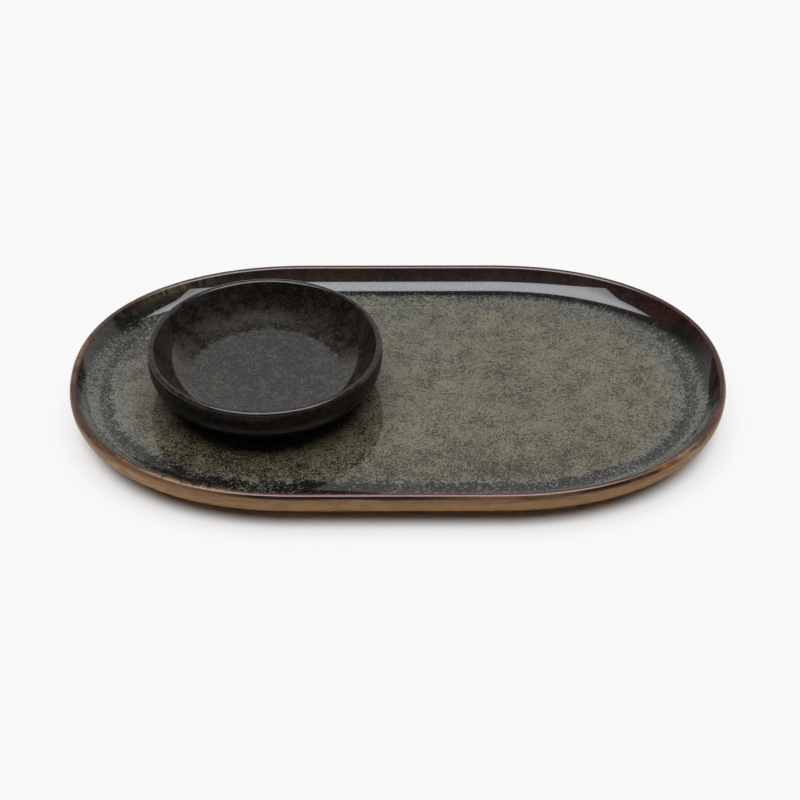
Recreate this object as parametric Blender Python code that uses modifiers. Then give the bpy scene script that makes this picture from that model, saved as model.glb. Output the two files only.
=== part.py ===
"""A stoneware tapas set: an oblong serving plate and the round dip bowl that stands loose on it.

Both pieces are thrown dishes with the same kind of section: a floor, level in the plate and slightly
dished in the bowl, a cove that turns up into a flared wall, a round lip, a belly that turns under, and a
foot ring round a shallow recess. The bowl is that section turned once round. The plate is the section
turned half round for one end, carried along the full shoulders of its outline, drawn out for the straight
side and mirrored for the other end.

Units are metres, +Z is up, and the origin is on the table under the middle of the plate.
"""

import math

import bmesh
import bpy

# Sizes of the plate. Its height is the recess, the floor and the depth together. The fullness of its
# ends is the power of their curve: 2 makes half an ellipse, and more makes broader shoulders. The slopes
# of the inside are in degrees from level: at the edge of the floor, and at the foot and top of the wall.
PLATE_LENGTH = 0.340
PLATE_WIDTH = 0.204
PLATE_END = 0.122
PLATE_END_FULLNESS = 2.2
PLATE_DEPTH = 0.0110
PLATE_FLOOR = 0.0059
PLATE_RECESS = 0.0031
PLATE_LIP_OUTSIDE = 0.0018
PLATE_LIP_INSIDE = 0.0037
PLATE_WELL = 0.0166
PLATE_FLOOR_SLOPE = 0
PLATE_WALL_SLOPES = (45.3, 51.5)
PLATE_STRAIGHT_WALL = 0.0004
PLATE_FOOT_HEIGHT = 0.0033
PLATE_FOOT_WIDTH = 0.0052
PLATE_FOOT_SETBACK = 0.0015

# Sizes of the bowl. Its height is the recess, the floor and the depth together, the depth and the floor
# are those of its middle, and the slopes of the inside are given as the plate's are.
BOWL_DIAMETER = 0.1218
BOWL_DEPTH = 0.0210
BOWL_FLOOR = 0.0036
BOWL_RECESS = 0.0016
BOWL_LIP_OUTSIDE = 0.0019
BOWL_LIP_INSIDE = 0.0019
BOWL_WELL = 0.0200
BOWL_FLOOR_SLOPE = 3.0
BOWL_WALL_SLOPES = (62.0, 66.0)
BOWL_STRAIGHT_WALL = 0.0050
BOWL_FOOT_HEIGHT = 0.0028
BOWL_FOOT_WIDTH = 0.0046
BOWL_FOOT_SETBACK = 0.0012

# Where the middle of the bowl stands on the plate, and the air left under its foot.
BOWL_X = -0.0689
BOWL_Y = 0.0052
SEAT_GAP = 0.0003

# The round on the edges of a foot ring, the cove where it meets the recess, and the taper of its sides.
FOOT_ROUND = 0.0008
FOOT_COVE = 0.0012
FOOT_TAPER = 0.0004

# Facets: round a whole turn, and along each arc of the section.
TURN_STEPS = 60
DISH_STEPS = 3
WELL_STEPS = 6
WALL_STEPS = 2
LIP_STEPS = 4
BELLY_STEPS = 7
ROUND_STEPS = 2

# What the two pieces share.
PLATE_HEIGHT = PLATE_RECESS + PLATE_FLOOR + PLATE_DEPTH
BED_HEIGHT = PLATE_RECESS + PLATE_FLOOR


def clear_scene():
    """Take every object out of the startup scene."""
    for obj in list(bpy.data.objects):
        bpy.data.objects.remove(obj, do_unlink=True)


def arc(middle, radius, start, end, steps):
    """Points of an arc in the section plane, both ends included, angles in degrees from +R towards +Z."""
    points = []
    for step in range(steps + 1):
        angle = math.radians(start + (end - start) * step / steps)
        points.append((middle[0] + radius * math.cos(angle), middle[1] + radius * math.sin(angle)))
    return points


def level_and_steep(slope):
    """Cosine and sine of a slope in degrees."""
    return math.cos(math.radians(slope)), math.sin(math.radians(slope))


def dish_section(
    half, depth, floor, recess, lip_outside, lip_inside, well, floor_slope, wall_slopes, straight,
    foot_height, foot_width, setback,
):
    """Half the section of a thrown dish, from the middle of its floor over the lip to the middle below.

    The floor rises as a shallow curve to its slope, and the well arc turns up from there to the foot of
    the wall. The inside of the wall is a wide arc that takes the depth left over between the well and the
    round of the lip. The belly arc fills the height that the lip, the upright outside of the wall and the
    foot leave over.
    """
    height = recess + floor + depth
    floor_top = recess + floor
    foot_slope, top_slope = wall_slopes
    floor_level, floor_steep = level_and_steep(floor_slope)
    foot_level, foot_steep = level_and_steep(foot_slope)
    top_level, top_steep = level_and_steep(top_slope)
    dish = math.tan(math.radians(floor_slope / 2))
    crest = half - lip_outside
    lip_rise = lip_inside * (1 - top_level)
    well_rise = well * (floor_level - foot_level)
    reach = crest - lip_inside * top_steep - well * (foot_steep - floor_steep)
    spread = top_steep - foot_steep
    wall = (depth - lip_rise - well_rise - reach * dish) / (foot_level - top_level - spread * dish)
    wall_middle = (crest - (lip_inside + wall) * top_steep, height - lip_rise + wall * top_level)
    floor_half = reach - wall * spread
    floor_rise = floor_half * dish
    well_middle = (floor_half - well * floor_steep, floor_top + floor_rise + well * floor_level)
    belly_top = height - lip_outside - straight
    belly = belly_top - foot_height
    foot_outer = half - belly - setback
    foot_inner = foot_outer - foot_width

    points = [(0, floor_top)]
    if floor_rise > 0:
        for step in range(1, DISH_STEPS):
            share = step / DISH_STEPS
            points.append((floor_half * share, floor_top + floor_rise * share ** 2))
    points += arc(well_middle, well, floor_slope - 90, foot_slope - 90, WELL_STEPS)
    points += arc(wall_middle, wall, foot_slope - 90, top_slope - 90, WALL_STEPS)[1:]
    points += arc((crest, height - lip_inside), lip_inside, 90 + top_slope, 90, LIP_STEPS)[1:]
    points += arc((crest, height - lip_outside), lip_outside, 90, 0, LIP_STEPS)[1:]
    points += arc((half - belly, belly_top), belly, 0, -90, BELLY_STEPS)
    outer_edge = foot_outer - FOOT_TAPER - FOOT_ROUND
    inner_edge = foot_inner + FOOT_TAPER + FOOT_ROUND
    points.append((foot_outer, foot_height))
    points += arc((outer_edge, FOOT_ROUND), FOOT_ROUND, 0, -90, ROUND_STEPS)
    points += arc((inner_edge, FOOT_ROUND), FOOT_ROUND, -90, -180, ROUND_STEPS)
    if recess > FOOT_ROUND + FOOT_COVE:
        points.append((foot_inner, recess - FOOT_COVE))
    points.append((foot_inner - FOOT_COVE, recess))
    points.append((0, recess))
    return points


def turned(name, section, turn, steps):
    """A mesh object made by turning a section, drawn towards -Y, by an angle about Z."""
    mesh = bpy.data.meshes.new(name)
    corners = [(0, -across, up) for across, up in section]
    edges = [(index, index + 1) for index in range(len(corners) - 1)]
    mesh.from_pydata(corners, edges, [])
    obj = bpy.data.objects.new(name, mesh)
    screw = obj.modifiers.new("Turn", "SCREW")
    screw.axis = "Z"
    screw.angle = turn
    screw.steps = steps
    screw.render_steps = steps
    screw.use_merge_vertices = True
    screw.merge_threshold = 0.00005
    screw.use_smooth_shade = False
    return obj


def follow_outline(place, half, end, fullness):
    """Move a point of the turned end in from the plate's outline as far as it was in from the circle."""
    reach = math.hypot(place.x, place.y)
    if reach < 1e-9:
        return
    along = abs(place.x) / reach
    across = abs(place.y) / reach
    power = 2 / fullness
    lean_x = along ** (2 - power) / end
    lean_y = across ** (2 - power) / half
    inset = (half - reach) / math.hypot(lean_x, lean_y)
    place.x = math.copysign(end * along ** power - inset * lean_x, place.x)
    place.y = math.copysign(half * across ** power - inset * lean_y, place.y)


def draw_out_side(obj, half, end, straight):
    """Settle a half-turned end, fit it to the outline and draw its open edge to the mirror plane."""
    bpy.context.view_layer.update()
    graph = bpy.context.evaluated_depsgraph_get()
    settled = bpy.data.meshes.new_from_object(obj.evaluated_get(graph))
    obj.modifiers.clear()
    obj.data = settled
    shape = bmesh.new()
    shape.from_mesh(settled)
    for vert in shape.verts:
        follow_outline(vert.co, half, end, PLATE_END_FULLNESS)
        vert.co.x += straight
    open_edges = [edge for edge in shape.edges if edge.is_boundary]
    drawn = bmesh.ops.extrude_edge_only(shape, edges=open_edges)
    for item in drawn["geom"]:
        if isinstance(item, bmesh.types.BMVert):
            item.co.x = 0
    bmesh.ops.recalc_face_normals(shape, faces=shape.faces)
    top = max(shape.faces, key=lambda face: face.calc_center_median().z)
    if top.normal.z < 0:
        bmesh.ops.reverse_faces(shape, faces=shape.faces)
    shape.to_mesh(settled)
    shape.free()


def glaze(name, colour, roughness):
    """A plain glaze of one colour."""
    material = bpy.data.materials.new(name)
    material.use_nodes = True
    shader = material.node_tree.nodes["Principled BSDF"]
    shader.inputs["Base Color"].default_value = (*colour, 1)
    shader.inputs["Roughness"].default_value = roughness
    shader.inputs["Coat Weight"].default_value = 0.5
    return material


def make_plate(collection):
    """The oblong plate, in the middle of the frame, standing on its foot ring."""
    half = PLATE_WIDTH / 2
    section = dish_section(
        half, PLATE_DEPTH, PLATE_FLOOR, PLATE_RECESS, PLATE_LIP_OUTSIDE, PLATE_LIP_INSIDE, PLATE_WELL,
        PLATE_FLOOR_SLOPE, PLATE_WALL_SLOPES, PLATE_STRAIGHT_WALL, PLATE_FOOT_HEIGHT, PLATE_FOOT_WIDTH,
        PLATE_FOOT_SETBACK,
    )
    plate = turned("oval_plate", section, math.pi, TURN_STEPS // 2)
    collection.objects.link(plate)
    draw_out_side(plate, half, PLATE_END, PLATE_LENGTH / 2 - PLATE_END)
    mirror = plate.modifiers.new("Other end", "MIRROR")
    mirror.use_axis = (True, False, False)
    mirror.use_clip = True
    mirror.merge_threshold = 0.00005
    plate.data.materials.append(glaze("plate_glaze", (0.11, 0.11, 0.09), 0.2))
    return plate


def make_bowl(collection):
    """The round dip bowl, standing on the bed of the plate."""
    section = dish_section(
        BOWL_DIAMETER / 2, BOWL_DEPTH, BOWL_FLOOR, BOWL_RECESS, BOWL_LIP_OUTSIDE, BOWL_LIP_INSIDE, BOWL_WELL,
        BOWL_FLOOR_SLOPE, BOWL_WALL_SLOPES, BOWL_STRAIGHT_WALL, BOWL_FOOT_HEIGHT, BOWL_FOOT_WIDTH,
        BOWL_FOOT_SETBACK,
    )
    bowl = turned("dip_bowl", section, 2 * math.pi, TURN_STEPS)
    collection.objects.link(bowl)
    bowl.location = (BOWL_X, BOWL_Y, BED_HEIGHT + SEAT_GAP)
    bowl.data.materials.append(glaze("bowl_glaze", (0.02, 0.015, 0.012), 0.3))
    return bowl


def main():
    clear_scene()
    collection = bpy.data.collections.new("Tapas plate")
    bpy.context.scene.collection.children.link(collection)
    make_plate(collection)
    make_bowl(collection)


main()
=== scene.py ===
"""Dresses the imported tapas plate: an oblong stoneware plate and a dip bowl under reactive glazes.

Both pieces are remodelled with fine sections in place of their faceted solids, and each carries one
glaze whose colours follow the section: bed, pooled ring, wall, lip, outside and foot.
"""

import logging
import math
from dataclasses import dataclass
from enum import Enum
from typing import Any, Callable, Sequence, TypeAlias

import bpy
import numpy as np
from mathutils import Matrix, Vector


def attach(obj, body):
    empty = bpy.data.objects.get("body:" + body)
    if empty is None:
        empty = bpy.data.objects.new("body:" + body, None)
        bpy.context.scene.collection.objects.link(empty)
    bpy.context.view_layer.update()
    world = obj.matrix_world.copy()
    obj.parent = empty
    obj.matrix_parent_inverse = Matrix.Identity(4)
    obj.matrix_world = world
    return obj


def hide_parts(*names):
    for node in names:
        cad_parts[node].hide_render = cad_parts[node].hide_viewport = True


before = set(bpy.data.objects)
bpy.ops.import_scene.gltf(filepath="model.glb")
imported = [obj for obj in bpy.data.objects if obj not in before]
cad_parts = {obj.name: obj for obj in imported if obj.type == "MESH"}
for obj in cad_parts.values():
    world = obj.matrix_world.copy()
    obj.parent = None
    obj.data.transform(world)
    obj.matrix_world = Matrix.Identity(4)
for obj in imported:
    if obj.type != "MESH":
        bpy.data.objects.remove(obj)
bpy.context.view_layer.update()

log = logging.getLogger("tapas_plate")

Number = float | int
Term: TypeAlias = "Value | Number"
Point = tuple[float, float]
Place = tuple[float, float, float]
Colour = tuple[float, float, float, float]

MM = 1000.0
SAME_POINT = 0.000001
POLE_WELD = 0.000002
MIRROR_WELD = 0.00001
TINY = 1e-9
WHITE = (1, 1, 1, 1)


def shade(red: int, green: int, blue: int) -> Colour:
    """Turn a colour as a screen shows it into the linear values that a shader takes.

    Args:
        red: Red from 0 to 255.
        green: Green from 0 to 255.
        blue: Blue from 0 to 255.

    Returns:
        The linear colour with full alpha.
    """
    parts = []
    for value in (red, green, blue):
        part = value / 255
        parts.append(part / 12.92 if part <= 0.04045 else ((part + 0.055) / 1.055) ** 2.4)
    return (parts[0], parts[1], parts[2], 1.0)


class Operation(Enum):
    """The Math node operations that the finishes use."""

    ADD = "ADD"
    SUBTRACT = "SUBTRACT"
    MULTIPLY = "MULTIPLY"
    DIVIDE = "DIVIDE"
    POWER = "POWER"
    ABSOLUTE = "ABSOLUTE"
    SQRT = "SQRT"
    MINIMUM = "MINIMUM"
    MAXIMUM = "MAXIMUM"


def math_method(operation: Operation, turned: bool = False) -> Callable[..., "Value"]:
    """Make a method of Value that adds a Math node.

    Args:
        operation: What the node does.
        turned: Whether the value comes last.

    Returns:
        The method.
    """

    def method(value: "Value", *others: Term) -> "Value":
        """Work on the value and the other term, where there is one."""
        terms = (*others, value) if turned else (value, *others)
        return value.graph.math(operation, *terms)

    return method


class Value:
    """A number in a shader: a socket whose arithmetic adds Math nodes."""

    __add__ = math_method(Operation.ADD)
    __radd__ = math_method(Operation.ADD, turned=True)
    __sub__ = math_method(Operation.SUBTRACT)
    __rsub__ = math_method(Operation.SUBTRACT, turned=True)
    __mul__ = math_method(Operation.MULTIPLY)
    __rmul__ = math_method(Operation.MULTIPLY, turned=True)
    __truediv__ = math_method(Operation.DIVIDE)
    __rtruediv__ = math_method(Operation.DIVIDE, turned=True)
    __pow__ = math_method(Operation.POWER)
    __abs__ = math_method(Operation.ABSOLUTE)
    root = math_method(Operation.SQRT)
    at_least = math_method(Operation.MAXIMUM)
    at_most = math_method(Operation.MINIMUM)

    def __init__(self, graph: "Graph", socket: bpy.types.NodeSocket) -> None:
        """Keep the socket and the graph that it belongs to."""
        self.graph = graph
        self.socket = socket

    def __neg__(self) -> "Value":
        """Negative."""
        return self * -1

    def held(self, low: Number = 0.0, high: Number = 1.0) -> "Value":
        """The value, kept between two bounds."""
        return self.at_least(low).at_most(high)

    def sway(self, size: Term) -> "Value":
        """How far a noise is off its middle, times a size."""
        return (self - 0.5) * size

    def rise(self, low: Term, high: Term) -> "Value":
        """Go smoothly from 0 at low to 1 at high.

        Args:
            low: Where the result leaves 0.
            high: Where the result reaches 1.

        Returns:
            The smooth step.
        """
        sockets = {"Value": self, "From Min": low, "From Max": high}
        node = self.graph.node("ShaderNodeMapRange", {"interpolation_type": "SMOOTHSTEP"}, sockets)
        return Value(self.graph, node.outputs["Result"])

    def fall(self, low: Term, high: Term) -> "Value":
        """Go smoothly from 1 at low to 0 at high."""
        return 1 - self.rise(low, high)


Link = bpy.types.NodeSocket | Value | Number | Sequence[float]


class Graph:
    """A node tree under construction."""

    def __init__(self, tree: bpy.types.NodeTree) -> None:
        """Take over a node tree and empty it."""
        self.tree = tree
        tree.nodes.clear()

    def node(
        self,
        kind: str,
        settings: dict[str, Any] | None = None,
        sockets: dict[str | int, Link] | None = None,
    ) -> bpy.types.Node:
        """Add a node.

        Args:
            kind: The node's type.
            settings: Properties, set first.
            sockets: Values or links by socket name or number.

        Returns:
            The new node.
        """
        node = self.tree.nodes.new(kind)
        for name, setting in (settings or {}).items():
            setattr(node, name, setting)
        for key, given in (sockets or {}).items():
            self._feed(self._socket(node, key), given)
        return node

    @staticmethod
    def _socket(node: bpy.types.Node, key: str | int) -> bpy.types.NodeSocket:
        """Find an input by number, or by name among the inputs in use."""
        named = (socket for socket in node.inputs if socket.name == key and socket.enabled)
        return node.inputs[key] if isinstance(key, int) else next(named)

    def _feed(self, socket: bpy.types.NodeSocket, given: Link) -> None:
        """Link an input or set its value.

        Args:
            socket: The input.
            given: What it takes.
        """
        if isinstance(given, Value):
            self.tree.links.new(given.socket, socket)
        elif isinstance(given, bpy.types.NodeSocket):
            self.tree.links.new(given, socket)
        else:
            socket.default_value = given

    def math(self, operation: Operation, *terms: Term) -> Value:
        """Add a Math node on one or two terms."""
        node = self.node("ShaderNodeMath", {"operation": operation.value}, dict(enumerate(terms)))
        return Value(self, node.outputs[0])

    def mix(self, first: Link, second: Link, share: Link) -> bpy.types.NodeSocket:
        """Mix two colours.

        Args:
            first: Colour at share 0.
            second: Colour at share 1.
            share: Share of the second.

        Returns:
            The mixed colour.
        """
        sockets = {"Factor": share, "A": first, "B": second}
        node = self.node("ShaderNodeMix", {"data_type": "RGBA"}, sockets)
        return next(socket for socket in node.outputs if socket.enabled)

    def spot(self) -> bpy.types.NodeSocket:
        """Object coordinates in millimetres."""
        sockets = {"Vector": self.node("ShaderNodeTexCoord").outputs["Object"], "Scale": MM}
        return self.node("ShaderNodeVectorMath", {"operation": "SCALE"}, sockets).outputs["Vector"]

    def split(self, vector: Link) -> tuple[Value, Value, Value]:
        """The three parts of a vector."""
        outputs = self.node("ShaderNodeSeparateXYZ", None, {"Vector": vector}).outputs
        return Value(self, outputs[0]), Value(self, outputs[1]), Value(self, outputs[2])

    def vector(self, x: Link, y: Link, z: Link) -> bpy.types.NodeSocket:
        """A vector from its three parts."""
        return self.node("ShaderNodeCombineXYZ", None, {"X": x, "Y": y, "Z": z}).outputs["Vector"]

    def stored(self, name: str) -> Any:
        """The outputs of what is stored on the mesh under a name."""
        return self.node("ShaderNodeAttribute", {"attribute_name": name}).outputs

    def noise(
        self, where: Link, size: Number, detail: Number = 2.0, rough: Number = 0.5, twist: Number = 0.0
    ) -> Value:
        """Cloudy noise about 0.5.

        Args:
            where: Coordinates in millimetres.
            size: Size of the clouds in millimetres.
            detail: Octaves of finer noise.
            rough: Strength of the finer noise.
            twist: Distortion of the coordinates.

        Returns:
            The noise.
        """
        finer = {"Detail": detail, "Roughness": rough, "Distortion": twist}
        node = self.node("ShaderNodeTexNoise", None, {"Vector": where, "Scale": 1 / size, **finer})
        return Value(self, node.outputs[0])


def start_finish(name: str) -> tuple[bpy.types.Material, Graph]:
    """Add a material.

    Args:
        name: Its name.

    Returns:
        The material and its empty graph.
    """
    material = bpy.data.materials.new(name)
    material.use_nodes = True
    return material, Graph(material.node_tree)


@dataclass(frozen=True)
class DishSection:
    """Half the section of a thrown dish, in metres, with slopes in degrees from level."""

    half: float
    depth: float
    floor: float
    recess: float
    lip_outside: float
    lip_inside: float
    well: float
    wall_slopes: Point
    straight: float
    foot_height: float
    foot_width: float
    setback: float
    floor_slope: float = 0.0
    foot_round: float = 0.0008
    foot_cove: float = 0.0012
    foot_taper: float = 0.0004
    floor_steps: int = 10
    well_steps: int = 24
    wall_steps: int = 8
    lip_steps: int = 12
    belly_steps: int = 22
    setback_steps: int = 2
    round_steps: int = 4

    @staticmethod
    def arc(middle: Point, radius: float, start: float, end: float, steps: int) -> list[Point]:
        """Points along an arc, both ends included.

        Args:
            middle: Centre, across and up.
            radius: Radius.
            start: Angle of the first point in degrees from outwards towards up.
            end: Angle of the last point.
            steps: Number of steps.

        Returns:
            The points.
        """
        points = []
        for step in range(steps + 1):
            angle = math.radians(start + (end - start) * step / steps)
            points.append((middle[0] + radius * math.cos(angle), middle[1] + radius * math.sin(angle)))
        return points

    @staticmethod
    def line(start: Point, end: Point, steps: int) -> list[Point]:
        """Points along a straight run, both ends included."""
        shares = [step / steps for step in range(steps + 1)]
        return [(start[0] + (end[0] - start[0]) * s, start[1] + (end[1] - start[1]) * s) for s in shares]

    @property
    def height(self) -> float:
        """Height of the lip above the foot."""
        return self.recess + self.floor + self.depth

    @staticmethod
    def level_and_steep(slope: float) -> Point:
        """Cosine and sine of a slope in degrees."""
        return math.cos(math.radians(slope)), math.sin(math.radians(slope))

    def inside(self) -> list[list[Point]]:
        """The inside in order: floor, well, flared wall and the inner round of the lip.

        Returns:
            The points of the four runs, across and up.
        """
        foot_slope, top_slope = self.wall_slopes
        floor_level, floor_steep = self.level_and_steep(self.floor_slope)
        foot_level, foot_steep = self.level_and_steep(foot_slope)
        top_level, top_steep = self.level_and_steep(top_slope)
        dish = math.tan(math.radians(self.floor_slope / 2))
        crest = self.half - self.lip_outside
        lip_rise = self.lip_inside * (1 - top_level)
        well_rise = self.well * (floor_level - foot_level)
        reach = crest - self.lip_inside * top_steep - self.well * (foot_steep - floor_steep)
        spread = top_steep - foot_steep
        arcs = lip_rise + well_rise + reach * dish
        wall = (self.depth - arcs) / (foot_level - top_level - spread * dish)
        wall_up = self.height - lip_rise + wall * top_level
        wall_middle = (crest - (self.lip_inside + wall) * top_steep, wall_up)
        floor_top = self.recess + self.floor
        floor_half = reach - wall * spread
        floor_rise = floor_half * dish
        well_up = floor_top + floor_rise + self.well * floor_level
        well_middle = (floor_half - self.well * floor_steep, well_up)
        lip_middle = (crest, self.height - self.lip_inside)
        shares = [step / self.floor_steps for step in range(self.floor_steps + 1)]
        return [
            [(floor_half * share, floor_top + floor_rise * share ** 2) for share in shares],
            self.arc(well_middle, self.well, self.floor_slope - 90, foot_slope - 90, self.well_steps),
            self.arc(wall_middle, wall, foot_slope - 90, top_slope - 90, self.wall_steps),
            self.arc(lip_middle, self.lip_inside, 90 + top_slope, 90, self.lip_steps),
        ]

    def points(self) -> list[Point]:
        """The whole section, from the middle of the floor over the lip to the middle below.

        Returns:
            The points, across and up.
        """
        belly_top = self.height - self.lip_outside - self.straight
        belly = belly_top - self.foot_height
        foot_outer = self.half - belly - self.setback
        foot_inner = foot_outer - self.foot_width
        lip_middle = (self.half - self.lip_outside, self.height - self.lip_outside)
        belly_end = (self.half - belly, self.foot_height)
        outer_edge = foot_outer - self.foot_taper - self.foot_round
        inner_edge = foot_inner + self.foot_taper + self.foot_round
        runs = self.inside() + [
            self.arc(lip_middle, self.lip_outside, 90, 0, self.lip_steps),
            self.arc((self.half - belly, belly_top), belly, 0, -90, self.belly_steps),
            self.line(belly_end, (foot_outer, self.foot_height), self.setback_steps),
            self.arc((outer_edge, self.foot_round), self.foot_round, 0, -90, self.round_steps),
            self.arc((inner_edge, self.foot_round), self.foot_round, -90, -180, self.round_steps),
            self.line((foot_inner - self.foot_cove, self.recess), (0.0, self.recess), self.floor_steps),
        ]
        points: list[Point] = []
        for run in runs:
            for point in run:
                if not points or math.dist(points[-1], point) > SAME_POINT:
                    points.append(point)
        return points

    def runs(self) -> list[float]:
        """How far each point is from the crest of the lip, along the section.

        Returns:
            The distances, negative inside.
        """
        points = self.points()
        along = [0.0]
        for before, after in zip(points, points[1:]):
            along.append(along[-1] + math.dist(before, after))
        crest = max(range(len(points)), key=lambda index: points[index][1])
        return [distance - along[crest] for distance in along]


class Dish:
    """A thrown dish, made by tracing its section and turning it."""

    name: str
    body: str
    node: str
    slot: str
    section: DishSection
    start_size: float = 0.01

    def trace(self) -> bpy.types.Object:
        """Start a mesh and draw the section towards -Y, one point after another; stays in edit mode.

        Returns:
            The object, with every vertex selected.
        """
        bpy.ops.object.select_all(action="DESELECT")
        bpy.ops.mesh.primitive_plane_add(size=self.start_size, location=(0, 0, 0))
        piece = bpy.context.object
        piece.name = self.name
        piece.data.name = self.name
        bpy.ops.object.mode_set(mode="EDIT")
        bpy.ops.mesh.select_mode(type="VERT")
        bpy.ops.mesh.select_all(action="SELECT")
        bpy.ops.mesh.merge(type="CENTER")
        place = Vector((0, 0, 0))
        for index, (across, up) in enumerate(self.section.points()):
            target = Vector((0, -across, up))
            if index == 0:
                bpy.ops.transform.translate(value=target - place)
            else:
                bpy.ops.mesh.extrude_vertices_move(TRANSFORM_OT_translate={"value": target - place})
            place = target
        bpy.ops.mesh.select_all(action="SELECT")
        return piece

    @staticmethod
    def turn(angle: float, steps: int) -> None:
        """Spin the selected section about the upright axis and close the poles.

        Args:
            angle: How far to spin, in radians.
            steps: Number of steps.
        """
        bpy.ops.mesh.spin(steps=steps, angle=angle, center=(0, 0, 0), axis=(0, 0, 1))
        bpy.ops.mesh.select_all(action="SELECT")
        bpy.ops.mesh.remove_doubles(threshold=POLE_WELD)

    @staticmethod
    def settle() -> None:
        """Turn all faces outwards and leave edit mode with a smooth surface."""
        bpy.ops.mesh.select_all(action="SELECT")
        bpy.ops.mesh.normals_make_consistent(inside=False)
        bpy.ops.object.mode_set(mode="OBJECT")
        bpy.ops.object.shade_smooth()

    def mark_runs(self, piece: bpy.types.Object) -> None:
        """Store on each vertex its distance from the crest of the lip along the section, in millimetres.

        Args:
            piece: The section, turned about the upright axis.
        """
        corners = self.corners(piece)
        radii = np.hypot(corners[:, 0], corners[:, 1])
        across, up = np.array(self.section.points()).T
        runs = np.array(self.section.runs()) * MM
        gaps = (radii[:, None] - across[None, :]) ** 2 + (corners[:, 2, None] - up[None, :]) ** 2
        layer = piece.data.attributes.new("run", "FLOAT", "POINT")
        layer.data.foreach_set("value", runs[gaps.argmin(axis=1)].astype(np.float32))

    @staticmethod
    def corners(piece: bpy.types.Object) -> np.ndarray:
        """Read the vertices of a mesh.

        Args:
            piece: The mesh object.

        Returns:
            One row for each vertex.
        """
        flat = np.empty(len(piece.data.vertices) * 3, np.float32)
        piece.data.vertices.foreach_get("co", flat)
        return flat.reshape(-1, 3)

    def place(self, piece: bpy.types.Object, finish: bpy.types.Material) -> None:
        """Give the piece its finish and put it in the place of its solid.

        Args:
            piece: The mesh object.
            finish: Its glaze.
        """
        piece.data.materials.clear()
        piece.data.materials.append(finish)
        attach(piece, self.body)
        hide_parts(self.node)
        log.info("%s: %d faces", piece.name, len(piece.data.polygons))


class Glaze:
    """What both glazes share: a clear coat over a fine relief."""

    coat_roughness: float = 0.03
    coat_index: float = 1.85
    relief_strength: float = 0.12
    relief_height: float = 0.0002
    sheen: float

    def close(self, graph: Graph, colour: Link, rough: Value, coat: Value, relief: Value) -> None:
        """Add the shader and the output.

        Args:
            graph: The glaze under construction.
            colour: Its colour.
            rough: Roughness below the coat.
            coat: How much of the coat is left.
            relief: Height of the relief.
        """
        heights = {"Strength": self.relief_strength, "Distance": self.relief_height, "Height": relief}
        bump = graph.node("ShaderNodeBump", None, heights)
        sockets = {
            "Base Color": colour,
            "Roughness": rough,
            "Specular IOR Level": self.sheen,
            "Coat Weight": coat,
            "Coat Roughness": self.coat_roughness,
            "Coat IOR": self.coat_index,
            "Normal": bump.outputs["Normal"],
        }
        shader = graph.node("ShaderNodeBsdfPrincipled", None, sockets)
        graph.node("ShaderNodeOutputMaterial", None, {"Surface": shader.outputs["BSDF"]})


@dataclass(frozen=True)
class Stretch:
    """A stretch of the plate's outline: its middle, and how far from there it stays full and is gone."""

    middle: Point
    full: float
    gone: float


class Places:
    """Where a point of a dish lies, in millimetres; run is its distance outwards from the crest."""

    def __init__(self, graph: Graph) -> None:
        """Read what both dishes store on their meshes.

        Args:
            graph: The glaze under construction.
        """
        self.graph = graph
        self.spot = graph.spot()
        self.run = Value(graph, graph.stored("run")["Fac"])
        self.within = -self.run


class RimPlaces(Places):
    """Where a point of the plate lies and the noises that its glaze shares."""

    left_end: Point = (-0.95, -0.60)

    def __init__(self, graph: Graph, half: float, reach: float) -> None:
        """Read the mesh and lay out the noises.

        Args:
            graph: The glaze under construction.
            half: Half the plate's width.
            reach: Half the plate's length.
        """
        super().__init__(graph)
        self.x, self.y, self.z = graph.split(self.spot)
        self.edge_x, self.edge_y, _ = graph.split(graph.stored("edge")["Vector"])
        self.front = self.edge_y * (-1 / half)
        self.ahead = self.front.at_least(0.0)
        self.behind = (-self.front).at_least(0.0)
        self.right = self.edge_x * (1 / reach)
        self.left = self.right.fall(*self.left_end)
        self.cloud = graph.noise(self.spot, 42.0)
        self.tint = graph.noise(self.spot, 7.0)
        self.patch = graph.noise(self.spot, 12.0, 3.0, 0.55)
        self.clot = graph.noise(self.spot, 2.6, 2.0, 0.55, 0.4)
        self.grain = graph.noise(self.spot, 0.88, 2.0, 0.65, 0.4)
        self.fine = graph.noise(self.spot, 0.5, 1.0)
        self.streak = graph.noise(self.drawn(1.0, 0.16), 1.5, 3.0, 0.65)
        self.drip = graph.noise(self.drawn(1.0, 0.07), 9.0)
        self.dash = graph.noise(self.drawn(0.6, 1.0), 0.8, 2.0, 0.65, 0.4)
        self.band = graph.noise(self.drawn(0.07, 1.0), 1.6)
        self.smudge = graph.noise(self.drawn(0.16, 1.0), 1.8, 3.0, 0.6)

    def drawn(self, along: float, across: float) -> bpy.types.NodeSocket:
        """Coordinates on the rim, scaled along the outline and across it to draw a noise out."""
        return self.graph.vector(self.edge_x * along, self.edge_y * along, self.run * across)

    def near(self, stretch: Stretch) -> Value:
        """Show a stretch of the outline.

        Args:
            stretch: The stretch.

        Returns:
            1 on the stretch, fading to 0 past its ends.
        """
        along = self.edge_x - stretch.middle[0]
        across = self.edge_y - stretch.middle[1]
        return (along * along + across * across).root().fall(stretch.full, stretch.gone)


@dataclass(frozen=True)
class Width:
    """How wide a colour is in from the crest, in millimetres, and what each side of the plate adds."""

    base: float
    right: float
    behind: float
    left: float

    def around(self, at: RimPlaces) -> Value:
        """The width at each point of the outline."""
        return self.base + at.right * self.right + at.behind * self.behind + at.left * self.left


class Flow(Enum):
    """Which way the glaze ran in a mark of the lip."""

    ACROSS = "across"
    ALONG = "along"


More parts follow.
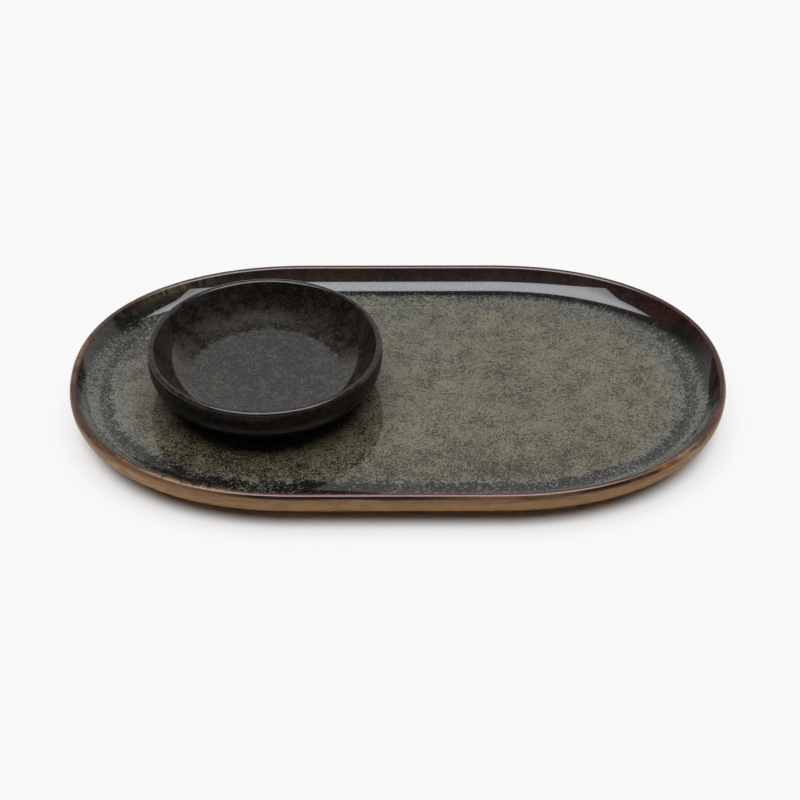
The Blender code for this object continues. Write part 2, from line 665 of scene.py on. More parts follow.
@dataclass(frozen=True)
class Pool:
    """A stretch of the ring where the glaze pooled darker, or paler below nought."""

    stretch: Stretch
    depth: float


@dataclass(frozen=True)
class LipMark:
    """A stretch of the lip in another colour, and how far it runs in and out from the crest."""

    stretch: Stretch
    colour: Colour
    depth: float
    drop: float = 0.9
    flow: Flow = Flow.ACROSS


@dataclass(frozen=True)
class PlateGlaze(Glaze):
    """The plate's glaze: flecked olive bed, dark pooled ring, brown wall, rust lip and tan outside.

    Widths and places are in millimetres; a pair says where a change begins and where it is complete.
    """

    half: float
    reach: float
    sheen: float = 0.10
    olive: Colour = shade(124, 118, 96)
    cool: Colour = shade(112, 112, 97)
    green: Colour = shade(113, 119, 84)
    rosy: Colour = shade(133, 116, 101)
    speck: Colour = shade(40, 35, 24)
    pooled: Colour = shade(25, 20, 17)
    pale: Colour = shade(113, 113, 104)
    green_black: Colour = shade(24, 24, 19)
    black_brown: Colour = shade(21, 14, 11)
    brown: Colour = shade(52, 32, 21)
    redbrown: Colour = shade(72, 37, 28)
    rust: Colour = shade(86, 49, 37)
    # A lighter lip colour: thinner glaze, and painted warmth for the lip's highlight.
    thin_lip_and_painted_warmth: Colour = shade(124, 84, 66)
    plum: Colour = shade(68, 57, 54)
    dark_red: Colour = shade(58, 19, 12)
    smear: Colour = shade(84, 54, 40)
    cream: Colour = shade(204, 170, 128)
    tan: Colour = shade(146, 108, 72)
    # A paler tan for mottles, and for painted floor light towards the foot.
    pale_tan_and_painted_floor_light: Colour = shade(186, 144, 101)
    ash: Colour = shade(142, 122, 92)
    clay: Colour = shade(176, 158, 132)
    ring_middle: float = 19.5
    ring_drift: float = 2.8
    ring_half: float = 2.8
    ring_swell: float = 1.7
    ring_soft: float = 1.5
    rim_end: Point = (25.0, 34.0)
    bed_front: Point = (42.0, 70.0)
    dark_width: Width = Width(10.5, 1.4, 6.2, -3.6)
    dark_loss: float = 22.0
    dark_loss_most: float = 8.0
    dark_soft: float = 2.4
    brown_width: Width = Width(4.6, 1.5, 3.4, 2.4)
    brown_extra: float = 4.5
    brown_soft: float = 1.6
    lip_end: Point = (0.5, 2.0)
    # Where the two lighter lines of the lip lie, under its mirrored highlight.
    thin_and_painted_warmth_near: float = 0.8
    thin_and_painted_warmth_far: float = 1.2
    mark_soft_in: float = 1.2
    mark_soft_out: float = 0.4
    belly_start: Point = (0.7, 1.5)
    belly_upper: Point = (3.6, 6.4)
    # How far down the belly the painted rim light starts.
    painted_rim_light_run: Point = (3.0, 6.0)
    red_line: float = 1.9
    red_half: Point = (0.8, 1.6)
    foot_top: Point = (0.2, 0.6)
    matt_start: Point = (1.2, 2.0)
    crest_half: Point = (1.6, 2.6)
    dull_start: Point = (7.0, 13.0)
    dull_end: Point = (24.0, 32.0)
    far_shoulder: Stretch = Stretch((122, 86), 6, 58)
    bright_belly: Stretch = Stretch((150, -60), 12, 64)
    # The two front corners where a rim light from the floor is painted on the belly.
    painted_rim_light_right: Stretch = Stretch((152, -58), 12, 52)
    painted_rim_light_left: Stretch = Stretch((-150, -62), 12, 56)
    red_front: Stretch = Stretch((-28, -102), 22, 74)
    red_right: Stretch = Stretch((114, -87), 10, 46)
    dull_ring: Stretch = Stretch((-122, -85), 8, 32)
    pools: tuple[Pool, ...] = (
        Pool(Stretch((-118, -87), 7, 33), 0.06),
        Pool(Stretch((-168, -24), 7, 33), -0.05),
        Pool(Stretch((-158, 54), 6.3, 29.7), 0.07),
        Pool(Stretch((118, -87), 7, 33), -0.05),
        Pool(Stretch((146, 66), 7, 33), 0.035),
        Pool(Stretch((-28, -102), 7.7, 36.3), 0.05),
    )
    marks: tuple[LipMark, ...] = (
        LipMark(Stretch((-123, 84), 5.4, 30.6), shade(110, 101, 70), 5.2),
        LipMark(Stretch((-168, 18), 6, 34), shade(132, 98, 66), 1.6),
        LipMark(Stretch((-106, -92), 7.2, 40.8), shade(174, 134, 98), 1.4),
        LipMark(Stretch((163, -38), 4.5, 25.5), shade(116, 66, 44), 2.0),
        LipMark(Stretch((-166, -32), 0.72, 4.08), shade(22, 22, 24), 1.6),
        LipMark(Stretch((-155, -54), 6, 34), shade(66, 26, 22), 2.6, 2.0),
        LipMark(Stretch((-138, -75), 2.1, 11.9), shade(158, 100, 54), 1.2),
        LipMark(Stretch((156, -52), 4.8, 27.2), shade(60, 27, 21), 1.4, 1.8, Flow.ALONG),
        LipMark(Stretch((131, -79), 2.1, 11.9), shade(184, 124, 60), 0.2, 3.0, Flow.ALONG),
        LipMark(Stretch((146, -67), 2.4, 13.6), shade(188, 150, 106), 0.2, 3.4, Flow.ALONG),
    )

    def inside(self, at: RimPlaces) -> bpy.types.NodeSocket:
        """Colour of the bed and the ring of pooled glaze round it.

        Args:
            at: The places and noises.

        Returns:
            The colour.
        """
        mix = at.graph.mix
        ragged = at.clot.sway(6.0) + at.grain.sway(5.0) + at.patch.sway(6.0)
        off_ring = abs(at.within + ragged - self.ring_middle - at.front * self.ring_drift)
        off_ring = off_ring - self.ring_half - at.front * self.ring_swell
        strength = 0.75 + at.front * 0.35 + at.cloud.sway(1.2) + at.ahead * (0.2 - at.right * 0.3)
        ring = off_ring.fall(-self.ring_soft, self.ring_soft) * strength.held()
        feather = (at.streak.sway(20.0) + at.drip.sway(10.0)) * (1 - at.behind * 0.45)
        dark_loss = (at.ahead * self.dark_loss).at_most(self.dark_loss_most)
        dark_end = self.dark_width.around(at) - dark_loss
        shadowed = (at.within + feather - dark_end).fall(-self.dark_soft, (1 + at.behind) * self.dark_soft)
        near_rim = at.within.fall(*self.rim_end)

        mottle = at.grain * 0.75 + at.fine * 0.25 + at.clot.sway(0.22) + at.patch.sway(0.24)
        flecks = at.dash + at.clot.sway(0.24) + at.patch.sway(0.14 + at.front * 0.10)
        mixed = mottle + (flecks - mottle) * near_rim
        level = 0.485 + ring * 0.12 + shadowed * (0.24 - at.behind * 0.05)
        level = level + (-at.y).rise(*self.bed_front) * (1 - near_rim) * 0.045
        for pool in self.pools:
            level = level + at.near(pool.stretch) * near_rim * pool.depth
        spread = 0.085 + at.behind * near_rim * 0.05
        share = (mixed - level).rise(-spread, spread)

        cool_share = (at.cloud * 0.7 + at.patch * 0.3 + at.y * 0.0030 - at.x * 0.0008).rise(0.46, 0.82)
        light = mix(self.olive, self.cool, cool_share)
        light = mix(light, self.green, at.tint.fall(0.38, 0.50) * 0.38)
        light = mix(light, self.rosy, at.tint.rise(0.50, 0.62) * 0.34)
        light = mix(light, self.pale, near_rim)
        dark = mix(self.speck, self.pooled, (ring + near_rim * 0.5).at_most(1.0))
        dark = mix(dark, self.green_black, shadowed)
        return mix(dark, light, share)

    def wall(self, at: RimPlaces, colour: Link) -> bpy.types.NodeSocket:
        """Lay the brown of the wall and the lip over the inside.

        Args:
            at: The places and noises.
            colour: The colour below.

        Returns:
            The colour.
        """
        mix = at.graph.mix
        shoulder = at.near(self.far_shoulder)
        mottle = at.clot * 0.5 + at.grain * 0.5 + at.drip.sway(0.6)
        brown = mix(self.black_brown, self.brown, mottle.rise(0.40, 0.60))
        brown = mix(brown, self.green_black, (at.streak + at.drip.sway(0.6)).rise(0.48, 0.62) * 0.5)
        dots = (at.grain * 0.45 + at.clot * 0.55 + at.streak.sway(0.6)).rise(0.44, 0.62)
        warm = 0.3 + shoulder * 0.6 - at.within * 0.03 + at.drip.sway(1.4)
        brown = mix(brown, self.redbrown, dots * warm.held(0.05, 0.95))
        dust = (at.fine + at.cloud.sway(0.5)).rise(0.54, 0.64) * at.behind * 0.4
        brown = mix(brown, self.smear, dust)
        holes = (at.patch * 0.5 + at.clot * 0.5 + at.streak.sway(0.3)).rise(0.50, 0.60)
        holes = holes * (1 - at.ahead * 2.0).at_least(0.0)
        brown = mix(brown, mix(self.plum, self.green_black, holes), at.left * 0.85)
        brown_end = self.brown_width.around(at) + shoulder * self.brown_extra
        brown_end = brown_end + at.streak.sway(9.0) + at.drip.sway(8.0)
        colour = mix(colour, brown, (at.within - brown_end).fall(-self.brown_soft, self.brown_soft))
        return mix(colour, self.lip(at), (at.within + at.streak.sway(2.4)).fall(*self.lip_end))

    def lip(self, at: RimPlaces) -> bpy.types.NodeSocket:
        """Colour of the lip: worn from brown to rust, ruddy in places and lighter along two lines under the
        mirrored highlight, partly thinner glaze and partly painted warmth for that highlight.

        Args:
            at: The places and noises.

        Returns:
            The colour.
        """
        mix = at.graph.mix
        ends = abs(at.right).rise(0.80, 0.97)
        worn = 0.25 + at.ahead * 0.5 + at.left * 0.4 - at.behind * 0.25
        worn = worn + at.patch.sway(1.4) + at.streak.sway(1.4) + at.drip.sway(1.4)
        colour = mix(self.brown, self.rust, worn.held())
        ruddy = (at.drip + at.streak.sway(0.6)).fall(0.38, 0.50) * (ends + at.ahead).at_most(0.8)
        colour = mix(colour, self.dark_red, ruddy)
        # Along the front the lighter line is partly thinner glaze and partly painted warmth for the
        # highlight; the line on the far lip is painted warmth for the highlight alone.
        thin_glaze_and_painted_warmth = abs(at.run - self.thin_and_painted_warmth_near).fall(0.2, 0.8)
        thin_glaze_and_painted_warmth = thin_glaze_and_painted_warmth * (at.ahead + ends * 0.3 + at.patch.sway(2.0)).rise(0.2, 0.9)
        far = abs(at.within - self.thin_and_painted_warmth_far + at.streak.sway(1.0)).fall(0.1, 1.1) * at.behind * 0.8
        return mix(colour, self.thin_lip_and_painted_warmth, thin_glaze_and_painted_warmth.at_least(far))

    def mark_lip(self, at: RimPlaces, colour: Link) -> bpy.types.NodeSocket:
        """Lay the marks of the lip over the rest, broken up along its length.

        Args:
            at: The places and noises.
            colour: The colour below.

        Returns:
            The colour.
        """
        flows = {Flow.ACROSS: at.streak, Flow.ALONG: at.smudge}
        for mark in self.marks:
            flow = flows[mark.flow]
            feather = flow.sway(4.0) + at.grain.sway(2.0)
            inner = (at.within + feather - mark.depth).fall(-self.mark_soft_in, self.mark_soft_in)
            outer = (at.run + feather * 0.2 - mark.drop).fall(-self.mark_soft_out, self.mark_soft_out)
            broken = (flow + at.drip.sway(0.5)).rise(0.36, 0.60) * 0.85
            colour = at.graph.mix(colour, mark.colour, at.near(mark.stretch) * inner * outer * broken)
        return colour

    def outside(self, at: RimPlaces, colour: Link) -> bpy.types.NodeSocket:
        """Lay the tan of the outside, with painted floor light towards the foot and painted rim light at
        the front corners, and the bare foot over the rest.

        Args:
            at: The places and noises.
            colour: The colour below.

        Returns:
            The colour.
        """
        mix = at.graph.mix
        # Paler towards the foot: painted light bounced up from the floor, mixed with the glaze's own
        # mottling.
        painted_floor_light_and_mottle = at.run * 0.04 + at.patch * 0.35 + at.smudge * 0.55 + at.streak * 0.15 + at.grain * 0.15
        belly = mix(self.tan, self.pale_tan_and_painted_floor_light, painted_floor_light_and_mottle.rise(0.58, 1.06))
        belly = mix(belly, self.ash, at.tint.rise(0.50, 0.64) * 0.45)
        upper = at.run.fall(*self.belly_upper)
        belly = mix(belly, self.smear, at.band.rise(0.48, 0.68) * upper * at.cloud.rise(0.42, 0.60))
        bright = at.near(self.bright_belly) * 0.6 + at.patch.rise(0.50, 0.66) * 0.3
        belly = mix(belly, self.cream, at.band.fall(0.34, 0.52) * upper * bright)
        # Cream streaks low on the belly at the front corners: a painted rim light from the floor.
        sides = (at.near(self.painted_rim_light_right) * 0.3).at_least(at.near(self.painted_rim_light_left) * 0.8)
        painted_rim_light_streaks = at.smudge.rise(0.42, 0.62) * at.run.rise(*self.painted_rim_light_run)
        belly = mix(belly, self.cream, painted_rim_light_streaks * sides)
        off_line = abs(at.run - self.red_line - at.cloud.sway(1.4)) + at.grain.sway(0.8)
        strong = 0.25 + at.near(self.red_front) + at.patch.sway(1.2) + at.near(self.red_right) * 0.7
        belly = mix(belly, self.dark_red, off_line.fall(*self.red_half) * strong.held(0.0, 0.97))
        colour = mix(colour, belly, (at.run + at.streak.sway(1.4)).rise(*self.belly_start))
        return mix(colour, self.clay, at.z.fall(*self.foot_top))

    def make(self) -> bpy.types.Material:
        """Build the material.

        Returns:
            The finished glaze.
        """
        material, graph = start_finish("plate_reactive_glaze")
        at = RimPlaces(graph, self.half, self.reach)
        colour = self.outside(at, self.wall(at, self.inside(at)))
        colour = self.mark_lip(at, colour)
        matt = at.run.rise(*self.matt_start)
        crest = abs(at.run + 0.2).fall(*self.crest_half) * (0.32 - at.behind * 0.18)
        dull = at.within.rise(*self.dull_start) * at.within.fall(*self.dull_end)
        dull = dull * at.near(self.dull_ring) * 0.6
        coat = 1 - (matt * 0.88).at_least(crest).at_least(dull)
        rough = 0.35 + matt * 0.1 + at.z.fall(*self.foot_top) * 0.3
        self.close(graph, colour, rough, coat, at.grain * 0.6 + at.streak * 0.4)
        return material


class BowlPlaces(Places):
    """Where a point of the bowl lies and the noises that its glaze shares."""

    core: float = 1.0
    strand_half: float = 0.04

    def __init__(self, graph: Graph, middle: Point) -> None:
        """Read the mesh and lay out the noises.

        Args:
            graph: The glaze under construction.
            middle: Middle of the bowl.
        """
        super().__init__(graph)
        x, y, _ = graph.split(self.spot)
        self.along = x - middle[0]
        across = y - middle[1]
        radius = (self.along * self.along + across * across).root().at_least(self.core)
        self.left = -self.along / radius
        self.behind = across / radius
        self.patch = graph.noise(self.spot, 13.0, 3.0, 0.55)
        self.clot = graph.noise(self.spot, 4.0)
        self.grain = graph.noise(self.spot, 0.85, 2.0, 0.65, 0.6)
        self.fibre = graph.noise(self.spot, 1.3, 3.0, 0.65, 1.2)
        self.strand = self.strands(5.0, 0.9).at_least(self.strands(3.4, 0.6))

    def strands(self, size: float, twist: float) -> Value:
        """Thin winding lines along the middle of a noise."""
        return abs(self.graph.noise(self.spot, size, twist=twist) - 0.5).fall(0.0, self.strand_half)


@dataclass(frozen=True)
class BowlGlaze(Glaze):
    """The bowl's glaze: brown-black with fine paler fibres, dry on the far wall and outside.

    Widths are in millimetres; a pair says where a change begins and where it is complete.
    """

    middle: Point
    sheen: float = 0.08
    dark: Colour = shade(19, 14, 11)
    fibre: Colour = shade(77, 74, 68)
    ochre: Colour = shade(68, 58, 47)
    red: Colour = shade(54, 35, 29)
    olive: Colour = shade(68, 65, 58)
    # A paler grey for a painted sheen of the softbox on the far wall.
    painted_sheen: Colour = shade(76, 74, 71)
    lip: Colour = shade(54, 46, 41)
    floor_end: Point = (-27.0, -20.0)
    painted_sheen_start: Point = (15.0, 21.0)
    painted_sheen_middle: float = -3.0
    painted_sheen_half: Point = (8.0, 20.0)
    lip_half: Point = (1.4, 2.6)
    outside_start: Point = (2.0, 3.5)
    rust_end: Point = (8.0, 20.0)
    dry_start: Point = (2.6, 4.6)
    dry_end: Point = (27.2, 29.6)
    matt_start: Point = (1.8, 3.0)
    crest_half: Point = (1.8, 2.6)

    def inside(self, at: BowlPlaces) -> bpy.types.NodeSocket:
        """Colour of the fibrous floor and the mottled wall, with a painted sheen of the softbox low on the
        far wall.

        Args:
            at: The places and noises.

        Returns:
            The colour.
        """
        mix = at.graph.mix
        felt = at.strand * (at.fibre + at.clot.sway(0.5)).rise(0.32, 0.60) * 0.7
        felt = felt + (at.fibre + at.clot.sway(0.3) + at.patch.sway(0.3)).rise(0.40, 0.74) * 0.5
        floor = mix(self.dark, self.fibre, felt.at_most(1.0))
        speck = at.grain + at.clot.sway(0.25) + at.patch.sway(0.25)
        wall = mix(self.dark, self.red, (at.patch + at.clot.sway(0.6)).rise(0.46, 0.66) * 0.5)
        wall = mix(wall, self.ochre, speck.rise(0.485, 0.60) * 0.9)
        bloom = at.left.rise(0.15, 0.55) * at.behind.rise(-0.05, 0.35)
        bloom = bloom * (at.patch + at.clot.sway(0.4)).rise(0.38, 0.54)
        bloom = bloom * (0.7 + at.grain.rise(0.42, 0.58) * 0.5)
        hazy = felt.at_most(1.0) * (0.15 + bloom * 0.6) + bloom * 0.25
        wall = mix(wall, self.olive, hazy.at_most(1.0))
        # A paler patch low on the far wall, where the glaze is kept dry: a painted sheen of the softbox.
        low = (at.within + at.clot.sway(10.0)).rise(*self.painted_sheen_start) * at.behind.rise(0.5, 0.9)
        beside = abs(at.along - self.painted_sheen_middle + at.clot.sway(16.0)).fall(*self.painted_sheen_half)
        wall = mix(wall, self.painted_sheen, low * beside * (0.15 + felt * 0.8).at_most(1.0))
        return mix(floor, wall, at.run.rise(*self.floor_end))

    def outside(self, at: BowlPlaces, colour: Link) -> bpy.types.NodeSocket:
        """Lay the worn lip and the mottled outside over the rest.

        Args:
            at: The places and noises.
            colour: The colour below.

        Returns:
            The colour.
        """
        mix = at.graph.mix
        worn = mix(self.dark, self.lip, (at.grain + at.clot.sway(0.7)).rise(0.36, 0.62))
        off_crest = abs(at.run - 0.3) + at.grain.sway(1.4)
        colour = mix(colour, worn, off_crest.fall(*self.lip_half) * 0.8)
        rusty = (at.patch + at.grain.sway(0.8)).rise(0.44, 0.66)
        below = mix(self.dark, self.red, rusty * at.run.fall(*self.rust_end))
        below = mix(below, self.olive, (at.grain + at.clot.sway(0.9)).rise(0.52, 0.70) * 0.5)
        return mix(colour, below, at.run.rise(*self.outside_start))

    def make(self) -> bpy.types.Material:
        """Build the material.

        Returns:
            The finished glaze.
        """
        material, graph = start_finish("bowl_dark_glaze")
        at = BowlPlaces(graph, self.middle)
        colour = self.outside(at, self.inside(at))
        ragged = at.clot.sway(3.0) + at.grain.sway(2.0)
        far = at.within.rise(*self.dry_start) * (at.within + ragged).fall(*self.dry_end)
        far = far * at.behind.rise(0.17, 0.42)
        crest = abs(at.run - 0.2).fall(*self.crest_half)
        dry = (far * 0.985).at_least(at.run.rise(*self.matt_start) * 0.84).at_least(crest * 0.35)
        self.close(graph, colour, 0.4 + dry * 0.2, 1 - dry, at.grain)
        return material


@dataclass
class OvalPlate(Dish):
    """The oblong plate: two ends joined by straight sides, with one section all round."""

    length: float = 0.340
    end: float = 0.122
    fullness: float = 2.2
    still_half: float = 0.076
    turn_steps: int = 96
    side_steps: int = 10

    name = "glazed_oval_plate"
    body = "plate"
    node = "oval_plate"
    slot = "plate_glaze"
    section = DishSection(
        half=0.102, depth=0.0110, floor=0.0059, recess=0.0031, lip_outside=0.0018, lip_inside=0.0020,
        well=0.0155, wall_slopes=(46.0, 52.4), straight=0.0004, foot_height=0.0033, foot_width=0.0052,
        setback=0.0015,
    )

    @property
    def straight(self) -> float:
        """Half the length of the straight sides."""
        return self.length / 2 - self.end

    def follow_outline(self, piece: bpy.types.Object) -> None:
        """Carry the turned end along the fuller curve of the plate's end, in object mode.

        Every point stays as far inside the outline as it was inside the circle; within still_half, on
        the level floor, the points close up evenly towards the middle. The nearest point of the outline
        is stored on each vertex.

        Args:
            piece: The end, turned about the upright axis.
        """
        corners = self.corners(piece)
        reach = np.maximum(np.hypot(corners[:, 0], corners[:, 1]), TINY)
        plan = np.abs(corners[:, :2]) / reach[:, None]
        sides = np.sign(corners[:, :2])
        axes = np.array((self.end, self.section.half))
        power = 2 / self.fullness
        outline = axes * plan**power
        lean = plan ** (2 - power) / axes
        lean /= np.maximum(np.linalg.norm(lean, axis=1), TINY)[:, None]
        inset = self.section.half - np.maximum(reach, self.still_half)
        shrink = np.minimum(reach / self.still_half, 1)
        corners[:, :2] = sides * (outline - lean * inset[:, None]) * shrink[:, None]
        corners[:, 0] += self.straight
        piece.data.vertices.foreach_set("co", corners.ravel())
        edge = np.zeros_like(corners)
        edge[:, :2] = sides * outline + (self.straight, 0)
        layer = piece.data.attributes.new("edge", "FLOAT_VECTOR", "POINT")
        layer.data.foreach_set("vector", (edge * MM).astype(np.float32).ravel())

    def match_edges(self, piece: bpy.types.Object) -> None:
        """Set the stored outline points right on the straight sides and on the mirrored end.

        Args:
            piece: The whole plate.
        """
        corners = self.corners(piece)
        layer = piece.data.attributes["edge"].data
        flat = np.empty(len(corners) * 3, np.float32)
        layer.foreach_get("vector", flat)
        edge = flat.reshape(-1, 3)
        along = corners[:, 0]
        on_side = np.abs(along) <= self.straight + SAME_POINT
        edge[:, 0] = np.where(on_side, along * MM, np.copysign(edge[:, 0], along))
        layer.foreach_set("vector", edge.ravel())

    def build(self) -> bpy.types.Object:
        """Model the plate.

        Returns:
            The finished mesh object.
        """
        piece = self.trace()
        self.turn(-math.pi, self.turn_steps)
        bpy.ops.object.mode_set(mode="OBJECT")
        self.mark_runs(piece)
        self.follow_outline(piece)
        bpy.ops.object.mode_set(mode="EDIT")
        bpy.ops.mesh.select_mode(type="EDGE")
        bpy.ops.mesh.select_all(action="DESELECT")
        bpy.ops.mesh.select_non_manifold(
            extend=False, use_wire=False, use_boundary=True, use_multi_face=False,
            use_non_contiguous=False, use_verts=False,
        )
        stride = {"value": (-self.straight / self.side_steps, 0, 0)}
        for _ in range(self.side_steps):
            bpy.ops.mesh.extrude_edges_move(TRANSFORM_OT_translate=stride)
        bpy.ops.object.mode_set(mode="OBJECT")
        bpy.ops.object.modifier_add(type="MIRROR")
        mirror = piece.modifiers[-1]
        mirror.use_axis = (True, False, False)
        mirror.merge_threshold = MIRROR_WELD
        bpy.ops.object.modifier_apply(modifier=mirror.name)
        bpy.ops.object.mode_set(mode="EDIT")
        self.settle()
        self.match_edges(piece)
        return piece

    def dress(self, piece: bpy.types.Object) -> None:
        """Glaze the plate and put it in place."""
        glaze = PlateGlaze(self.section.half * MM, self.length / 2 * MM)
        self.place(piece, glaze.make())


@dataclass
class DipBowl(Dish):
    """The round bowl that stands on the plate."""

    plate: OvalPlate
    stand: Point = (-0.0689, 0.0052)
    seat_gap: float = 0.0003
    turn_steps: int = 160

    name = "glazed_dip_bowl"
    body = "bowl"
    node = "dip_bowl"
    slot = "bowl_glaze"
    section = DishSection(
        half=0.0609, depth=0.0210, floor=0.0036, recess=0.0016, lip_outside=0.0019, lip_inside=0.0019,
        well=0.0200, floor_slope=3.0, wall_slopes=(62.0, 66.0), straight=0.0050, foot_height=0.0028,
        foot_width=0.0046, setback=0.0012, foot_cove=0.0008,
    )

    @property
    def seat(self) -> Place:
        """The place under the middle of its foot ring, just above the bed of the plate."""
        bed = self.plate.section.recess + self.plate.section.floor
        return (*self.stand, bed + self.seat_gap)

    def build(self) -> bpy.types.Object:
        """Model the bowl.

        Returns:
            The finished mesh object.
        """
        piece = self.trace()
        self.turn(2 * math.pi, self.turn_steps)
        self.settle()
        self.mark_runs(piece)
        bpy.ops.object.mode_set(mode="EDIT")
        bpy.ops.mesh.select_all(action="SELECT")
        bpy.ops.transform.translate(value=self.seat)
        bpy.ops.object.mode_set(mode="OBJECT")
        return piece

    def dress(self, piece: bpy.types.Object) -> None:
        """Glaze the bowl and put it in place."""
        glaze = BowlGlaze((self.stand[0] * MM, self.stand[1] * MM))
        self.place(piece, glaze.make())


@dataclass
class Studio:
    """Camera, lights and floor; angles are in degrees."""

    plate: OvalPlate
    target: Place = (0.0011, 0.0034, 0.0)
    distance: float = 1.3125
    elevation: float = 36.82
    roll: float = -0.1
    lens: float = 112.33
    sensor: float = 36.0
    clip: Point = (0.01, 50.0)
    box_size: Point = (1.4, 0.76)
    box_place: Place = (0.0, -0.22, 1.0)
    box_glow: float = 3.65
    box_colour: tuple[float, float, float] = (0.935, 0.95, 1.0)
    box_even: float = 0.5
    box_fade: Point = (0.40, 0.12)
    key_size: Point = (3.0, 2.14)
    key_place: Place = (-0.2, 0.61, 2.0)
    key_glow: float = 2.99
    backdrop_glow: float = 0.375
    backdrop_foot: float = 5.5
    backdrop_top: float = 68.0
    backdrop_turn: float = 20.0
    backdrop_reach: Point = (50.0, 88.0)
    foot_soft: float = 0.01
    top_soft: Point = (-0.06, 0.02)
    dim_glow: float = 0.028
    white: float = 0.94
    floor_size: float = 8.0
    floor_shade: float = 0.90
    floor_light: float = 1.118
    floor_middle: float = 0.6
    floor_fall: Point = (5.4, 3.6)
    shadow_shift: Point = (0.008, 0.016)
    shadow_core: Point = (-0.088, 0.032)
    shadow_skirt: Point = (0.0, 0.185)
    core_share: float = 0.75
    least: float = 0.001

    def place_camera(self) -> None:
        """Put the camera where the photograph was taken from."""
        tilt = math.radians(self.elevation)
        back = Vector((0, -math.cos(tilt), math.sin(tilt)))
        camera = bpy.data.objects.new("camera", bpy.data.cameras.new("camera"))
        camera.data.lens = self.lens
        camera.data.sensor_width = self.sensor
        camera.data.clip_start, camera.data.clip_end = self.clip
        bpy.context.scene.collection.objects.link(camera)
        lean = Matrix.Rotation(math.pi / 2 - tilt, 4, "X")
        turned = lean @ Matrix.Rotation(math.radians(self.roll), 4, "Z")
        camera.matrix_world = Matrix.Translation(Vector(self.target) + back * self.distance) @ turned
        bpy.context.scene.camera = camera

    @staticmethod
    def hang_lamp(name: str, size: Point, place: Place, glow: float) -> bpy.types.Object:
        """Hang a level lamp that shines down.

        Args:
            name: Its name.
            size: Width and depth.
            place: Its middle.
            glow: Brightness of its face.

        Returns:
            The lamp.
        """
        light = bpy.data.lights.new(name, "AREA")
        light.shape = "RECTANGLE"
        light.size, light.size_y = size
        light.energy = glow * math.pi * size[0] * size[1]
        lamp = bpy.data.objects.new(name, light)
        lamp.location = place
        bpy.context.scene.collection.objects.link(lamp)
        return lamp

    def hang_lamps(self) -> None:
        """Hang the softbox that the glaze mirrors, dimmer at its edges, and the lamp for the shadows."""
        softbox = self.hang_lamp("softbox", self.box_size, self.box_place, self.box_glow)
        softbox.data.color = self.box_colour
        softbox.visible_diffuse = False
        softbox.data.use_nodes = True
        graph = Graph(softbox.data.node_tree)
        along, across, _ = graph.split(graph.node("ShaderNodeNewGeometry").outputs["Parametric"])
        glow = 1 - abs(along * 2 - 1).rise(self.box_even, 1.0) * self.box_fade[0]
        glow = glow * (1 - abs(across * 2 - 1).rise(self.box_even, 1.0) * self.box_fade[1])
        face = graph.node("ShaderNodeEmission", None, {"Color": WHITE, "Strength": glow})
        graph.node("ShaderNodeOutputLight", None, {"Surface": face.outputs["Emission"]})
        key = self.hang_lamp("key", self.key_size, self.key_place, self.key_glow)
        key.visible_glossy = False

    def light_room(self) -> None:
        """Give the room a pale wall behind the plate and dimness elsewhere; the camera sees it white."""
        world = bpy.data.worlds.new("studio")
        world.use_nodes = True
        bpy.context.scene.world = world
        graph = Graph(world.node_tree)
        x, y, z = graph.split(graph.node("ShaderNodeTexCoord").outputs["Generated"])
        top = math.sin(math.radians(self.backdrop_top))
        foot = math.sin(math.radians(self.backdrop_foot))
        near, far = (math.cos(math.radians(angle)) for angle in self.backdrop_reach)
        aim = math.radians(self.backdrop_turn)
        steep = z / (y * y + z * z).root().at_least(self.least)
        facing = (x * math.sin(aim) + y * math.cos(aim)) / (x * x + y * y).root().at_least(self.least)
        wall = steep.fall(top + self.top_soft[0], top + self.top_soft[1])
        wall = wall * z.rise(foot - self.foot_soft, foot + self.foot_soft) * facing.rise(far, near)
        glow = self.dim_glow + wall * (self.backdrop_glow - self.dim_glow)
        seen = Value(graph, graph.node("ShaderNodeLightPath").outputs["Is Camera Ray"])
        strength = glow * (1 - seen) + seen * self.white
        background = graph.node("ShaderNodeBackground", None, {"Color": WHITE, "Strength": strength})
        graph.node("ShaderNodeOutputWorld", None, {"Surface": background.outputs["Background"]})

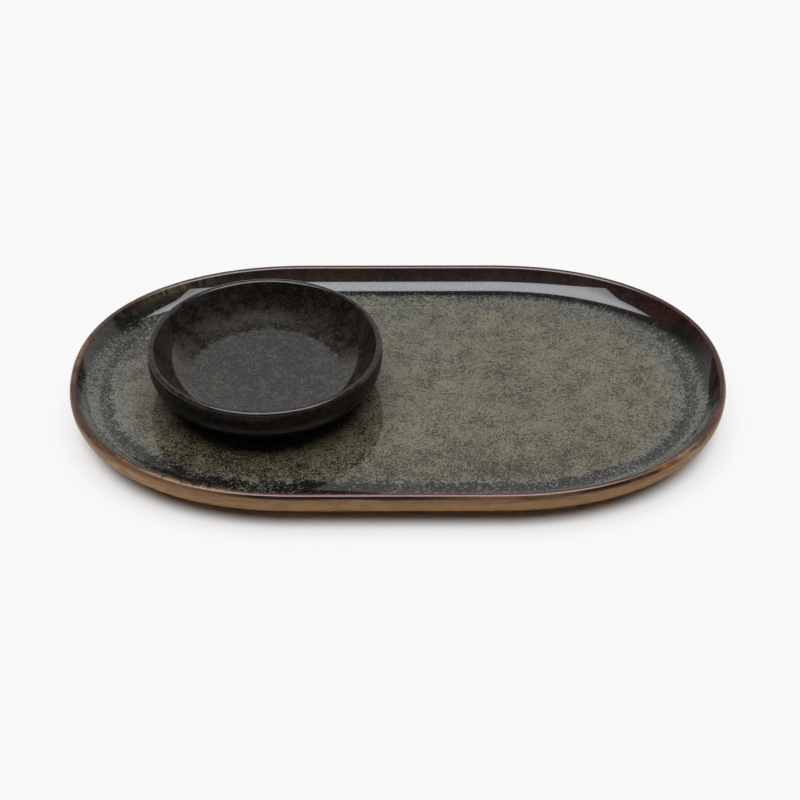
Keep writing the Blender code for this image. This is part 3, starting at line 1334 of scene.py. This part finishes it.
    def floor_finish(self) -> bpy.types.Material:
        """Make the pale floor even for the camera; the plate's shadow stays and fades out past its outline.

        Returns:
            The floor's material.
        """
        material, graph = start_finish("pale_floor")
        x, y, _ = graph.split(graph.node("ShaderNodeTexCoord").outputs["Object"])
        aside = x - self.key_place[0]
        ahead = y - self.floor_middle
        falling = 1 + aside * aside / self.floor_fall[0] + ahead * ahead / self.floor_fall[1]
        even = falling * (self.white / self.floor_light)
        grey = (self.floor_shade, self.floor_shade, self.floor_shade, 1)
        matte = graph.node("ShaderNodeBsdfDiffuse", None, {"Color": grey})
        near = graph.node("ShaderNodeBsdfDiffuse", None, {"Color": graph.vector(even, even, even)})
        far = graph.node("ShaderNodeEmission", None, {"Color": WHITE, "Strength": self.white})
        power = self.plate.fullness
        along = (abs(x) - self.plate.straight).at_least(0.0) / self.plate.end
        across = abs(y) / self.plate.section.half
        beyond = (along**power + across**power) ** (1 / power) - 1
        beyond = beyond + self.shadow_shift[0] + along * along * self.shadow_shift[1]
        away = beyond.rise(*self.shadow_core) * self.core_share
        away = away + beyond.rise(*self.shadow_skirt) * (1 - self.core_share)
        shown = graph.node("ShaderNodeMixShader", None, {0: away, 1: near.outputs[0], 2: far.outputs[0]})
        seen = graph.node("ShaderNodeLightPath").outputs["Is Camera Ray"]
        floor = graph.node("ShaderNodeMixShader", None, {0: seen, 1: matte.outputs[0], 2: shown.outputs[0]})
        graph.node("ShaderNodeOutputMaterial", None, {"Surface": floor.outputs[0]})
        return material

    def lay_floor(self) -> None:
        """Lay the pale floor."""
        bpy.ops.object.select_all(action="DESELECT")
        bpy.ops.mesh.primitive_plane_add(size=self.floor_size, location=(0, 0, 0))
        floor = bpy.context.object
        floor.name = "floor"
        floor.data.materials.append(self.floor_finish())

    def build(self) -> None:
        """Set up the studio."""
        bpy.context.scene.view_settings.view_transform = "Standard"
        self.place_camera()
        self.hang_lamps()
        self.light_room()
        self.lay_floor()


def main() -> None:
    """Build the studio, the plate and the bowl in turn."""
    logging.basicConfig(level=logging.INFO, format="%(name)s: %(message)s")
    plate = OvalPlate()
    Studio(plate).build()
    for dish in (plate, DipBowl(plate)):
        dish.dress(dish.build())


if __name__ == "__main__":
    main()
